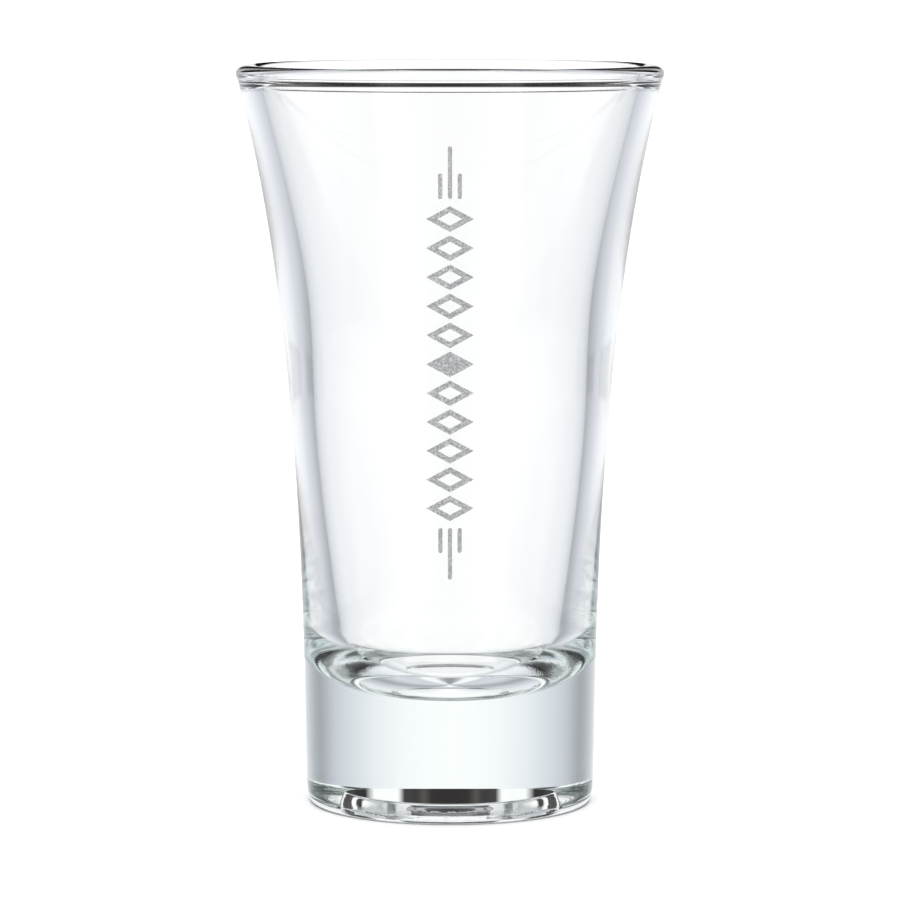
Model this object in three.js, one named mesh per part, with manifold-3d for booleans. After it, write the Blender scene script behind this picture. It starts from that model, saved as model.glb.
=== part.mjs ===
// A flared shot glass, pressed in one piece of clear soda-lime glass, with an ornament engraved on its front.
// Millimetres, +Z up, origin at the middle of the foot, front towards -Y.
import * as THREE from "three";
import { mergeVertices } from "three/addons/utils/BufferGeometryUtils.js";
import Module from "manifold-3d";

const wasm = await Module();
wasm.setup();

// The outside of the glass
const height = 87;
const lipRadius = 25.07; // at the widest point of the lip
const lipDrop = 1; // from the top down to that widest point
const wallTop = { r: 24.66, z: 84.6 }; // where the outer wall runs into the lip
const wallFoot = { r: 16.85, z: 1.1 }; // where the outer wall runs into the rounded corner of the foot
const footRadius = 16; // outer edge of the flat ring that the glass stands on

// The round recess pressed into the underside, with a flat roof and a steep side
const recessDepth = 1.6;
const roofRadius = 7.6; // of the flat of the roof
const roofEdge = { r: 8.25, z: 1.15 }; // where the rounded edge of the roof runs into the side
const ringRadius = 9.4; // where the side has run out into the ring that the glass stands on

// The inside of the cup
const mouthRadius = 22.3;
const mouthDrop = 1.4; // from the top down to where the inner wall runs into the lip
const cupFoot = { r: 13.35, z: 21.6 }; // where the inner wall runs into the rounded corner of the bottom
const bottomHeight = 13.3; // solid glass under the middle of the cup
const bottomRadius = 5.5; // of the flat of the bottom

// The engraved column: lozenges one above the other, the middle one solid, with three rules past each end
const lozengeCount = 11;
const lozengeWidth = 5.4;
const lozengeGap = 0.4;
const columnFoot = 35.3;
const columnTop = 71.9;
const strokeWidth = 0.62;
const ruleWidth = 0.48;
const ruleSpacing = 1.1;
const ruleLengths = { left: 2.9, middle: 6, right: 2.9 };
const ruleGap = 0.6;

// Each engraved mark is a thin tile in a pocket, flush with the outside of the glass
const tileThickness = 0.15;
const tileClearance = 0.05;

const roundSteps = 64; // flats round the glass
const clearGlass = { color: 0xdde7e8, roughness: 0.03, metalness: 0, transparent: true, opacity: 0.4 };
const engravedGlass = { color: 0xc6c9ca, roughness: 0.75, metalness: 0 };

// A point of an outline: distance from the axis and height, or across and up for a mark
const at = (across, up) => new THREE.Vector2(across, up);

// The points of curves that follow each other, each given with its number of steps
function pointsAlong(stretches) {
  return stretches.flatMap(([curve, steps], i) => curve.getPoints(steps).slice(i ? 1 : 0));
}

// From the middle of the recess over the foot, up the outer wall and over the outer half of the lip
function outsideOutline() {
  const lipMiddle = (lipRadius + mouthRadius) / 2;
  const widest = height - lipDrop;
  const edge = at(roofEdge.r, roofEdge.z);
  const foot = at(wallFoot.r, wallFoot.z);
  const top = at(wallTop.r, wallTop.z);
  return pointsAlong([
    [new THREE.LineCurve(at(0, recessDepth), at(roofRadius, recessDepth)), 1],
    [new THREE.QuadraticBezierCurve(at(roofRadius, recessDepth), at(8.1, recessDepth), edge), 3],
    [new THREE.CubicBezierCurve(edge, at(8.55, 0.15), at(8.65, 0), at(ringRadius, 0)), 4],
    [new THREE.LineCurve(at(ringRadius, 0), at(footRadius, 0)), 1],
    [new THREE.CubicBezierCurve(at(footRadius, 0), at(16.5, 0.05), at(16.8, 0.4), foot), 4],
    [new THREE.CubicBezierCurve(foot, at(17.6, 4), at(15.95, 50.3), top), 12],
    [new THREE.CubicBezierCurve(top, at(24.84, 85.3), at(lipRadius, 85.75), at(lipRadius, widest)), 3],
    [new THREE.EllipseCurve(lipMiddle, widest, lipRadius - lipMiddle, lipDrop, 0, Math.PI / 2), 3],
  ]);
}

// From the top of the lip over its inner half, down the inner wall and across the bottom to the axis
function insideOutline() {
  const lipTop = at((lipRadius + mouthRadius) / 2, height);
  const mouth = at(mouthRadius, height - mouthDrop);
  const foot = at(cupFoot.r, cupFoot.z);
  const bottomEdge = at(bottomRadius, bottomHeight);
  return pointsAlong([
    [new THREE.CubicBezierCurve(lipTop, at(22.5, height), at(22.14, 86.1), mouth), 4],
    [new THREE.CubicBezierCurve(mouth, at(12.2, 45.5), at(19, 62.5), foot), 11],
    [new THREE.CubicBezierCurve(foot, at(12.98, 17.2), at(9.6, bottomHeight), bottomEdge), 6],
    [new THREE.LineCurve(bottomEdge, at(0, bottomHeight)), 1],
  ]);
}

// A closed solid turned from an outline that starts and ends on the axis
function turned(outline) {
  return solidOf(new THREE.LatheGeometry(outline, roundSteps).rotateX(Math.PI / 2));
}

// The outside of the glass as a solid without its cup, with the wall moved in towards the axis by inset
function filledGlass(inset) {
  const outline = outsideOutline().map((p) => at(Math.max(p.x - inset, 0), p.y));
  return turned([...outline, at(0, height)]);
}

// A rhombus with its edges moved out by grow
function rhombus(halfWidth, halfHeight, grow) {
  const edge = Math.hypot(halfWidth, halfHeight);
  const w = halfWidth + (grow * edge) / halfHeight;
  const h = halfHeight + (grow * edge) / halfWidth;
  return [at(w, 0), at(0, h), at(-w, 0), at(0, -h)];
}

function lozengeShape(solid, middle, grow) {
  const pitch = (columnTop - columnFoot) / lozengeCount;
  const half = at(lozengeWidth / 2, (pitch - lozengeGap) / 2);
  const moved = (points) => points.map((p) => at(p.x, p.y + middle));
  const shape = new THREE.Shape(moved(rhombus(half.x, half.y, grow)));
  if (!solid) shape.holes.push(new THREE.Path(moved(rhombus(half.x, half.y, -strokeWidth - grow))));
  return shape;
}

// A straight upright stroke with round ends
function ruleShape(across, low, high, grow) {
  const r = ruleWidth / 2 + grow;
  const shape = new THREE.Shape();
  shape.absarc(across, high - ruleWidth / 2, r, 0, Math.PI, false);
  shape.absarc(across, low + ruleWidth / 2, r, Math.PI, 2 * Math.PI, false);
  return shape;
}

// Every mark's name, with a function that draws it grown by a distance
function marks() {
  const list = [];
  const pitch = (columnTop - columnFoot) / lozengeCount;
  for (let i = 0; i < lozengeCount; i++) {
    const solid = i === (lozengeCount - 1) / 2;
    const middle = columnFoot + pitch * (i + 0.5);
    const name = solid ? "engraved_diamond" : "engraved_lozenge_" + String(i + 1).padStart(2, "0");
    list.push({ name, draw: (grow) => lozengeShape(solid, middle, grow) });
  }
  for (const [side, place] of [["left", -1], ["middle", 0], ["right", 1]]) {
    const across = place * ruleSpacing;
    const length = ruleLengths[side];
    const low = columnFoot - ruleGap - length;
    const high = columnTop + ruleGap;
    for (const [end, foot] of [["low", low], ["high", high]]) {
      const name = "engraved_rule_" + end + "_" + side;
      list.push({ name, draw: (grow) => ruleShape(across, foot, foot + length, grow) });
    }
  }
  return list;
}

// A mark's shape pushed through the front wall
function punch(shape) {
  const push = new THREE.ExtrudeGeometry(shape, { depth: lipRadius, bevelEnabled: false, curveSegments: 4 });
  return solidOf(push.rotateX(Math.PI / 2).translate(0, -5, 0));
}

function solidOf(geometry) {
  geometry.deleteAttribute("normal");
  geometry.deleteAttribute("uv");
  const merged = mergeVertices(geometry);
  const vertProperties = merged.attributes.position.array;
  const triVerts = new Uint32Array(merged.index.array);
  return new wasm.Manifold(new wasm.Mesh({ numProp: 3, vertProperties, triVerts }));
}

function meshOf(solid, name, look) {
  const { vertProperties, triVerts } = solid.getMesh();
  const geometry = new THREE.BufferGeometry();
  geometry.setAttribute("position", new THREE.BufferAttribute(vertProperties, 3));
  geometry.setIndex(new THREE.BufferAttribute(triVerts, 1));
  geometry.computeVertexNormals();
  const mesh = new THREE.Mesh(geometry, new THREE.MeshStandardMaterial(look));
  mesh.name = name;
  return mesh;
}

const shotGlass = new THREE.Group();
const flush = filledGlass(0);
const behindTile = filledGlass(tileThickness);
const pocketFloor = filledGlass(tileThickness + tileClearance);
let glass = turned([...outsideOutline(), ...insideOutline().slice(1)]);
for (const { name, draw } of marks()) {
  const tile = punch(draw(0)).intersect(flush).subtract(behindTile);
  glass = glass.subtract(punch(draw(tileClearance)).subtract(pocketFloor));
  shotGlass.add(meshOf(tile, name, engravedGlass));
}
shotGlass.add(meshOf(glass, "glass", clearGlass));

export default shotGlass;
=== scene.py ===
import math

import bmesh
import bpy
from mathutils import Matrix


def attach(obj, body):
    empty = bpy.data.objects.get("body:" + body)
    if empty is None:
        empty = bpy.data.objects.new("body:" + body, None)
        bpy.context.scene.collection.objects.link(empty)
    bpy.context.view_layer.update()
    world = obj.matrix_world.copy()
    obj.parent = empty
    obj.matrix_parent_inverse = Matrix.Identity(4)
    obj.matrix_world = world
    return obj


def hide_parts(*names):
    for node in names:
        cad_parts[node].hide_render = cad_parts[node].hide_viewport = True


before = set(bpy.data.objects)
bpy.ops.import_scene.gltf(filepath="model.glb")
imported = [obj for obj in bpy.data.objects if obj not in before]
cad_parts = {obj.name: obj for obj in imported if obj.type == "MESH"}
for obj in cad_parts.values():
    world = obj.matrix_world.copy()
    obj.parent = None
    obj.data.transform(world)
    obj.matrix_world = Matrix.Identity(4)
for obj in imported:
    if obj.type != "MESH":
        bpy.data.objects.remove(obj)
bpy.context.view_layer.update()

mm = 0.001
crowding = 1.25    # above 1, the points of a curve lie closer together towards its end


def linear(hexColour):
    # sRGB hex to the linear values that Blender's sockets hold
    out = []
    for i in (1, 3, 5):
        c = int(hexColour[i:i + 2], 16) / 255
        out.append(c / 12.92 if c <= 0.04045 else ((c + 0.055) / 1.055) ** 2.4)
    return (*out, 1.0)


def addNode(tree, kind, settings=None, **inputs):
    # one node, its settings, and each input as a value or a link; i0, i1 and so on name an input by its place
    node = tree.nodes.new(kind)
    for name, value in (settings or {}).items():
        setattr(node, name, value)
    for name, value in inputs.items():
        byPlace = name[0] == "i" and name[1:].isdigit()
        socket = node.inputs[int(name[1:]) if byPlace else name.replace("_", " ")]
        if isinstance(value, bpy.types.NodeSocket):
            tree.links.new(value, socket)
        else:
            socket.default_value = value
    return node


def setRamp(node, stops, low=0, high=1):
    # a colour ramp from (place, colour) stops, with places between low and high
    elements = node.color_ramp.elements
    while len(elements) > 1:
        elements.remove(elements[-1])
    for i, (place, colour) in enumerate(stops):
        at = (place - low) / (high - low)
        element = elements[0] if i == 0 else elements.new(at)
        element.position = at
        element.color = linear(colour)


def newMaterial(name):
    material = bpy.data.materials.new(name)
    material.use_nodes = True
    material.node_tree.nodes.clear()
    return material, material.node_tree


def bezier(start, handleA, handleB, end, steps):
    # points of a cubic stretch, without its first point
    points = []
    for i in range(1, steps + 1):
        t = 1 - (1 - i / steps) ** crowding
        a, b, c, d = (1 - t) ** 3, 3 * (1 - t) ** 2 * t, 3 * (1 - t) * t * t, t ** 3
        points.append(tuple(a * start[k] + b * handleA[k] + c * handleB[k] + d * end[k] for k in (0, 1)))
    return points


def arc(centre, radii, fromDeg, toDeg, steps):
    # points of an elliptical stretch, without its first point
    points = []
    for i in range(1, steps + 1):
        a = math.radians(fromDeg + (toDeg - fromDeg) * i / steps)
        points.append((centre[0] + radii[0] * math.cos(a), centre[1] + radii[1] * math.sin(a)))
    return points


def finishMesh(bm, name, material, smooth=True):
    mesh = bpy.data.meshes.new(name)
    bm.to_mesh(mesh)
    bm.free()
    for face in mesh.polygons:
        face.use_smooth = smooth
    piece = bpy.data.objects.new(name, mesh)
    piece.data.materials.append(material)
    bpy.context.scene.collection.objects.link(piece)
    return piece


cameraSettings = {
    "distance": 551.5,   # mm in front of the glass's axis
    "height": 102.6,     # mm above the surface that it stands on
    "tiltDown": 6.303,   # degrees
    "lens": 188.35,
    "sensor": 36,
}


def makeCamera(s):
    data = bpy.data.cameras.new("camera")
    data.lens = s["lens"]
    data.sensor_width = s["sensor"]
    data.clip_start = 0.01
    data.clip_end = 200
    camera = bpy.data.objects.new("camera", data)
    camera.location = (0, -s["distance"] * mm, s["height"] * mm)
    camera.rotation_euler = (math.radians(90 - s["tiltDown"]), 0, 0)
    bpy.context.scene.collection.objects.link(camera)
    bpy.context.scene.camera = camera


makeCamera(cameraSettings)
print("camera done")


# the glass, pressed in one piece: millimetres from the axis and from the table
# each pair of handles bends one curve of its outline
glassSettings = {
    "height": 87.0,
    "lipRadius": 25.07,
    "lipDrop": 1.0,
    "wallTop": (24.66, 84.6),
    "wallFoot": (16.85, 1.1),
    "footRadius": 16.0,
    "recessTop": 8.1,      # radius where the recess's side would meet its roof
    "recessBase": 8.6,     # and where it would meet the table
    "recessDepth": 1.6,
    "mouthRadius": 22.3,
    "mouthDrop": 1.4,
    "cupFoot": (13.35, 21.6),
    "bottomHeight": 13.3,
    "bottomRadius": 5.5,
    "cornerHandles": ((16.5, 0.05), (16.8, 0.4)),
    "wallHandles": ((17.6, 4), (15.95, 50.3)),
    "lipHandles": ((24.84, 85.3), (25.07, 85.75)),
    "mouthHandles": ((22.5, 87), (22.14, 86.1)),
    "cupHandles": ((12.2, 45.5), (19, 62.5)),
    "bottomHandles": ((12.98, 17.2), (9.6, 13.3)),
    "wallSteps": 120,
    "roundSteps": 192,
}


def outerWall(s):
    return bezier(s["wallFoot"], *s["wallHandles"], s["wallTop"], s["wallSteps"])


def glassOutline(s):
    top = s["height"]
    lipMiddle = (s["lipRadius"] + s["mouthRadius"]) / 2
    widest = (s["lipRadius"], top - s["lipDrop"])
    mouth = (s["mouthRadius"], top - s["mouthDrop"])
    roof = s["recessDepth"]
    edge = s["recessTop"]
    base = s["recessBase"]
    bottomEdge = (s["bottomRadius"], s["bottomHeight"])
    # the recess under the foot: a flat roof, a rounded edge and a steep side
    points = [(0, roof), (edge - 0.5, roof)]
    points += bezier(points[-1], (edge, roof), (edge, roof), (edge + 0.15, roof - 0.45), 8)
    points += bezier(points[-1], (base - 0.05, 0.15), (base + 0.05, 0), (base + 0.8, 0), 10)
    # the flat ring, the rounded corner, the outer wall and the outer half of the lip
    points += [(s["footRadius"], 0)]
    points += bezier(points[-1], *s["cornerHandles"], s["wallFoot"], 12)
    points += outerWall(s)
    points += bezier(s["wallTop"], *s["lipHandles"], widest, 12)
    points += arc((lipMiddle, widest[1]), (s["lipRadius"] - lipMiddle, s["lipDrop"]), 0, 90, 16)
    # the inner half of the lip, the inner wall, the round corner and the flat of the bottom
    points += bezier((lipMiddle, top), *s["mouthHandles"], mouth, 20)
    points += bezier(mouth, *s["cupHandles"], s["cupFoot"], s["wallSteps"])
    points += bezier(s["cupFoot"], *s["bottomHandles"], bottomEdge, 32)
    points += [(0, s["bottomHeight"])]
    return points


def makeGlass(s, material):
    bm = bmesh.new()
    verts = [bm.verts.new((r * mm, 0, z * mm)) for r, z in glassOutline(s)]
    edges = [bm.edges.new(pair) for pair in zip(verts, verts[1:])]
    bmesh.ops.spin(bm, geom=verts + edges, cent=(0, 0, 0), axis=(0, 0, 1), dvec=(0, 0, 0),
                   angle=2 * math.pi, steps=s["roundSteps"], use_merge=True)
    bmesh.ops.remove_doubles(bm, verts=bm.verts, dist=0.001 * mm)
    bmesh.ops.recalc_face_normals(bm, faces=bm.faces)
    return finishMesh(bm, "glassBody", material)


def clearGlass():
    # soda-lime glass, pressed and fire-polished: clear, with hard-edged reflections, and a faint green-grey
    # where it is thick
    material, tree = newMaterial("sodaLimeGlassPressedFirePolished")
    place = addNode(tree, "ShaderNodeTexCoord")
    # the mould leaves the foot ring faintly pebbled, and the polishing flame never reaches it
    pebble = addNode(tree, "ShaderNodeTexNoise", {}, Vector=place.outputs["Object"], Scale=1 / (0.5 * mm),
                     Detail=1.0)
    split = addNode(tree, "ShaderNodeSeparateXYZ", {}, Vector=place.outputs["Object"])
    under = addNode(tree, "ShaderNodeMapRange", {}, Value=split.outputs["Z"], From_Min=1.0 * mm,
                    From_Max=0.6 * mm, To_Min=0.0, To_Max=0.03)
    bump = addNode(tree, "ShaderNodeBump", {}, Strength=under.outputs[0], Distance=mm,
                   Height=pebble.outputs["Fac"])
    surface = addNode(tree, "ShaderNodeBsdfPrincipled", {}, Base_Color=(1, 1, 1, 1), Roughness=0.0, IOR=1.52,
                      Transmission_Weight=1.0, Normal=bump.outputs["Normal"])
    inside = addNode(tree, "ShaderNodeVolumeAbsorption", {}, Color=linear("#d6e8e4"), Density=9.0)
    addNode(tree, "ShaderNodeOutputMaterial", {}, Surface=surface.outputs[0], Volume=inside.outputs[0])
    return material


glassBody = makeGlass(glassSettings, clearGlass())
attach(glassBody, "root")
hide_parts("glass")
print("glass done")


# the engraved column on the front: lozenges, the middle one solid, and three rules past each end, in mm
engravingSettings = {
    "lozengeCount": 11,
    "lozengeWidth": 5.4,
    "lozengeGap": 0.4,
    "columnFoot": 35.3,
    "columnTop": 71.9,
    "strokeWidth": 0.62,
    "ruleWidth": 0.48,
    "ruleSpacing": 1.1,
    "ruleLengths": (2.9, 6, 2.9),
    "ruleGap": 0.6,
    "proud": 0.015,    # the roughened skin's outside, from the polished surface
    "skin": 0.06,      # its thickness
    "ruleTip": 0.02,   # squared width left at a rule's tip, as a share of its full width
    "cuts": 8,         # along and across each stroke of a lozenge
    "cell": 0.08,      # length of a rule's faces
}


def onFront(across, up, outwards):
    # a place on the outside of the glass's front, moved out from the axis
    wall = frontWall
    i = next(k for k in range(1, len(wall)) if wall[k][1] >= up)
    (r0, z0), (r1, z1) = wall[i - 1], wall[i]
    radius = r0 + (r1 - r0) * (up - z0) / (z1 - z0) + outwards
    return (across * mm, -math.sqrt(radius ** 2 - across ** 2) * mm, up * mm)


def drawLozenge(bm, s, solid):
    # a four-sided disc pulled to the lozenge's shape, with its middle taken out unless it's the solid one
    pitch = (s["columnTop"] - s["columnFoot"]) / s["lozengeCount"]
    bmesh.ops.create_circle(bm, cap_ends=True, segments=4, radius=1)
    bmesh.ops.scale(bm, vec=(s["lozengeWidth"] / 2, (pitch - s["lozengeGap"]) / 2, 1), verts=bm.verts)
    if not solid:
        middle = bm.faces[:]
        bmesh.ops.inset_individual(bm, faces=middle, thickness=s["strokeWidth"], use_even_offset=True)
        bmesh.ops.delete(bm, geom=middle, context="FACES")
    bmesh.ops.subdivide_edges(bm, edges=bm.edges, cuts=s["cuts"], use_grid_fill=True)


def drawRule(bm, s, length):
    # an upright strip with its ends narrowed to half rounds
    r = s["ruleWidth"] / 2
    bmesh.ops.create_grid(bm, x_segments=2, y_segments=round(length / s["cell"]), size=0.5)
    bmesh.ops.scale(bm, vec=(2 * r, length, 1), verts=bm.verts)
    for vert in bm.verts:
        past = max(0, abs(vert.co.y) - (length / 2 - r))
        vert.co.x *= math.sqrt(max(s["ruleTip"], 1 - (past / r) ** 2))


def markPiece(name, bm, across, up, s, material):
    # the flat drawing laid on the front of the glass and given its thickness
    for vert in bm.verts:
        vert.co = onFront(vert.co.x + across, vert.co.y + up, s["proud"])
    bmesh.ops.recalc_face_normals(bm, faces=bm.faces)
    if sum(face.normal.y for face in bm.faces) > 0:
        bmesh.ops.reverse_faces(bm, faces=bm.faces)
    bmesh.ops.solidify(bm, geom=bm.faces, thickness=s["skin"] * mm)
    piece = finishMesh(bm, name.replace("engraved_", "engraving_"), material, smooth=False)
    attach(piece, "root")
    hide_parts(name)


def makeEngraving(s, material):
    pitch = (s["columnTop"] - s["columnFoot"]) / s["lozengeCount"]
    for i in range(s["lozengeCount"]):
        solid = i == s["lozengeCount"] // 2
        name = "engraved_diamond" if solid else "engraved_lozenge_%02d" % (i + 1)
        bm = bmesh.new()
        drawLozenge(bm, s, solid)
        markPiece(name, bm, 0, s["columnFoot"] + pitch * (i + 0.5), s, material)
    for side, place, length in zip(("left", "middle", "right"), (-1, 0, 1), s["ruleLengths"]):
        away = s["ruleGap"] + length / 2
        for end, middle in (("low", s["columnFoot"] - away), ("high", s["columnTop"] + away)):
            bm = bmesh.new()
            drawRule(bm, s, length)
            markPiece("engraved_rule_%s_%s" % (end, side), bm, place * s["ruleSpacing"], middle, s, material)


def engravedGlass():
    # glass roughened by an engraver's laser: a dull light grey made of fine specks, darker and brighter
    material, tree = newMaterial("sodaLimeGlassLaserEngraved")
    place = addNode(tree, "ShaderNodeTexCoord")
    specks = addNode(tree, "ShaderNodeTexNoise", {}, Vector=place.outputs["Object"], Scale=1 / (0.22 * mm),
                     Detail=3.0, Roughness=0.65)
    tone = addNode(tree, "ShaderNodeValToRGB", {}, Fac=specks.outputs["Fac"])
    setRamp(tone, [(0.3, "#7c7d7e"), (0.5, "#a2a3a4"), (0.7, "#d2d2d3")])
    pits = addNode(tree, "ShaderNodeBump", {}, Strength=0.3, Distance=0.02 * mm, Height=specks.outputs["Fac"])
    surface = addNode(tree, "ShaderNodeBsdfPrincipled", {}, Base_Color=tone.outputs["Color"], Roughness=0.8,
                      IOR=1.5, Normal=pits.outputs["Normal"])
    addNode(tree, "ShaderNodeOutputMaterial", {}, Surface=surface.outputs[0])
    return material


frontWall = outerWall(glassSettings)
makeEngraving(engravingSettings, engravedGlass())
print("engraving done")


def makeFloor():
    # pale paper that stretches out of sight; the glass doesn't reflect or bend it, only the studio's light
    bm = bmesh.new()
    bmesh.ops.create_circle(bm, cap_ends=True, cap_tris=False, segments=128, radius=40.0)
    material, tree = newMaterial("paleStudioPaper")
    surface = addNode(tree, "ShaderNodeBsdfPrincipled", {}, Base_Color=linear("#f4f4f4"), Roughness=0.9)
    addNode(tree, "ShaderNodeOutputMaterial", {}, Surface=surface.outputs[0])
    floor = finishMesh(bm, "floor", material, smooth=False)
    floor.visible_transmission = False
    floor.visible_glossy = False


# the studio's light, in degrees: round from straight behind the glass, the same on both sides, and up from
# the horizon
studioSettings = {
    "strength": 1.12,
    "sweep": [(0, "#ffffff"), (6, "#fdfdfe"), (13, "#f5f6f8"), (18, "#f0f1f4"), (23, "#e9ebef"),
              (28, "#dfe2e7"), (33, "#d4d7de"), (40, "#c6c9d1"), (44, "#bbbec5"), (48, "#aeb1b7"),
              (53, "#a0a4a8"), (60, "#a8abb0"), (70, "#bfc2c9"), (80, "#d0d3d8"), (112, "#ced1d9"),
              (124, "#fdfdfe"), (144, "#f4f4f6"), (158, "#b4b6ba"), (170, "#9c9ca0"), (180, "#949498")],
    "sweepTop": (6, 8),
    "flagColour": "#56605c",
    "flagRound": [(0, "#000000"), (94, "#000000"), (101, "#ffffff"), (132, "#ffffff"), (139, "#000000")],
    "flagUp": [(-62, "#000000"), (-54, "#ffffff"), (-16, "#ffffff"), (-9, "#000000")],
    "room": [(0, "#1c1613"), (5, "#1c1613"), (7, "#4c4846"), (9, "#1c1613"), (12.8, "#1c1613"),
             (14.5, "#ffffff"), (22.5, "#ffffff"), (26, "#1c1a18"), (35, "#1c1a18"), (39, "#ffffff"),
             (100, "#ffffff"), (140, "#8a8a8c"), (180, "#8a8a8c")],
    "ceiling": [(0, "#b4b8be"), (60, "#c8c8ca"), (82, "#a0a0a0"), (92, "#484644"), (134, "#484644"),
                (142, "#b8b8ba"), (180, "#c8c8ca")],
    "ceilingFoot": (26, 36),
}


def makeWorld(s):
    world = bpy.data.worlds.new("studio")
    world.use_nodes = True
    tree = world.node_tree
    tree.nodes.clear()
    place = addNode(tree, "ShaderNodeTexCoord")
    split = addNode(tree, "ShaderNodeSeparateXYZ", {}, Vector=place.outputs["Generated"])
    across = addNode(tree, "ShaderNodeMath", {"operation": "ABSOLUTE"}, i0=split.outputs["X"])
    turn = addNode(tree, "ShaderNodeMath", {"operation": "ARCTAN2"}, i0=across.outputs[0],
                   i1=split.outputs["Y"])
    rise = addNode(tree, "ShaderNodeMath", {"operation": "ARCSINE"}, i0=split.outputs["Z"])
    turned = addNode(tree, "ShaderNodeMapRange", {}, Value=turn.outputs[0], From_Min=0.0, From_Max=math.pi)
    raised = addNode(tree, "ShaderNodeMapRange", {}, Value=rise.outputs[0], From_Min=-math.pi / 2,
                     From_Max=math.pi / 2)

    def rampRound(stops):
        node = addNode(tree, "ShaderNodeValToRGB", {}, Fac=turned.outputs[0])
        setRamp(node, stops, 0, 180)
        return node.outputs["Color"]

    def mixed(factor, under, over):
        return addNode(tree, "ShaderNodeMix", {"data_type": "RGBA"}, i0=factor, i6=under, i7=over).outputs[2]

    def above(low, high):
        node = addNode(tree, "ShaderNodeMapRange", {"interpolation_type": "SMOOTHSTEP"},
                       Value=rise.outputs[0], From_Min=math.radians(low), From_Max=math.radians(high))
        return node.outputs[0]

    # a white sweep behind and below, with a dark flag low at each side
    flagUp = addNode(tree, "ShaderNodeValToRGB", {}, Fac=raised.outputs[0])
    setRamp(flagUp, s["flagUp"], -90, 90)
    flag = addNode(tree, "ShaderNodeMath", {"operation": "MULTIPLY"}, i0=rampRound(s["flagRound"]),
                   i1=flagUp.outputs["Color"])
    light = mixed(flag.outputs[0], rampRound(s["sweep"]), linear(s["flagColour"]))
    # above the sweep the dark room with two strip lights, then the ceiling
    light = mixed(above(*s["sweepTop"]), light, rampRound(s["room"]))
    light = mixed(above(*s["ceilingFoot"]), light, rampRound(s["ceiling"]))
    # straight from the camera the sweep is plain white
    path = addNode(tree, "ShaderNodeLightPath")
    light = mixed(path.outputs["Is Camera Ray"], light, (1, 1, 1, 1))
    glow = addNode(tree, "ShaderNodeBackground", {}, Color=light, Strength=s["strength"])
    addNode(tree, "ShaderNodeOutputWorld", {}, Surface=glow.outputs[0])
    bpy.context.scene.world = world


def makeLight():
    data = bpy.data.lights.new("overheadSoftLight", "SUN")
    data.angle = math.radians(60)
    data.energy = 4.4
    light = bpy.data.objects.new("overheadSoftLight", data)
    light.visible_glossy = False
    light.visible_transmission = False
    bpy.context.scene.collection.objects.link(light)


makeFloor()
makeWorld(studioSettings)
makeLight()

scene = bpy.context.scene
scene.view_settings.view_transform = "Standard"
scene.cycles.use_denoising = True
scene.cycles.max_bounces = 32
scene.cycles.transmission_bounces = 32
scene.cycles.glossy_bounces = 16
print("studio done")
